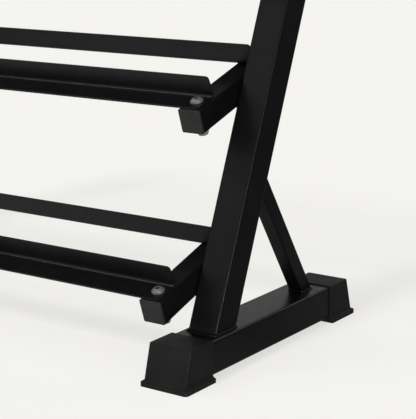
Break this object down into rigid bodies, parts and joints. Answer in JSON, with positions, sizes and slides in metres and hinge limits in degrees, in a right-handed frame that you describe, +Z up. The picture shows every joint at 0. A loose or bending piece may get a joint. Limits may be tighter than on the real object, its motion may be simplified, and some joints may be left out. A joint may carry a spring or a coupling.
{
  "type": "dumbbell rack",
  "caption": "Black steel dumbbell rack: leaning square uprights on slip-covered feet, braced behind, with pairs of tilted angle rails bolted on capped arms.",
  "frame": {"origin": "on the floor, at the middle of the footprint", "axes": "+X along the rails to the rack's right end as seen from its front, +Y to its back, +Z up; its front faces -Y"},
  "size_m": [1.0936, 0.4768, 0.7431],
  "materials": {
    "powder_coat": "satin black powder coat with a fine texture",
    "moulded_plastic": "black moulded plastic with a fine grain",
    "zinc": "bright zinc plating"
  },
  "bodies": {
    "root": {"foot_tube_right": "powder_coat", "foot_tube_left": "powder_coat", "upright_right": "powder_coat", "upright_left": "powder_coat", "rear_brace_right": "powder_coat", "rear_brace_left": "powder_coat", "lower_arm_right": "powder_coat", "lower_arm_left": "powder_coat", "middle_arm_right": "powder_coat", "middle_arm_left": "powder_coat", "upper_arm_right": "powder_coat", "upper_arm_left": "powder_coat", "weld_beads_right": "powder_coat", "weld_beads_left": "powder_coat", "front_foot_cover_right": "moulded_plastic", "front_foot_cover_left": "moulded_plastic", "rear_foot_cover_right": "moulded_plastic", "rear_foot_cover_left": "moulded_plastic", "upright_cap_right": "moulded_plastic", "upright_cap_left": "moulded_plastic", "lower_arm_front_cap_right": "moulded_plastic", "lower_arm_front_cap_left": "moulded_plastic", "lower_arm_rear_cap_right": "moulded_plastic", "lower_arm_rear_cap_left": "moulded_plastic", "middle_arm_front_cap_right": "moulded_plastic", "middle_arm_front_cap_left": "moulded_plastic", "middle_arm_rear_cap_right": "moulded_plastic", "middle_arm_rear_cap_left": "moulded_plastic", "upper_arm_front_cap_right": "moulded_plastic", "upper_arm_front_cap_left": "moulded_plastic", "upper_arm_rear_cap_right": "moulded_plastic", "upper_arm_rear_cap_left": "moulded_plastic", "lower_front_rail": "powder_coat", "lower_rear_rail": "powder_coat", "middle_front_rail": "powder_coat", "middle_rear_rail": "powder_coat", "upper_front_rail": "powder_coat", "upper_rear_rail": "powder_coat", "rail_bolts": "zinc", "head_washers": "zinc", "nut_washers": "zinc", "lock_nuts": "zinc"}
  },
  "joints": []
}
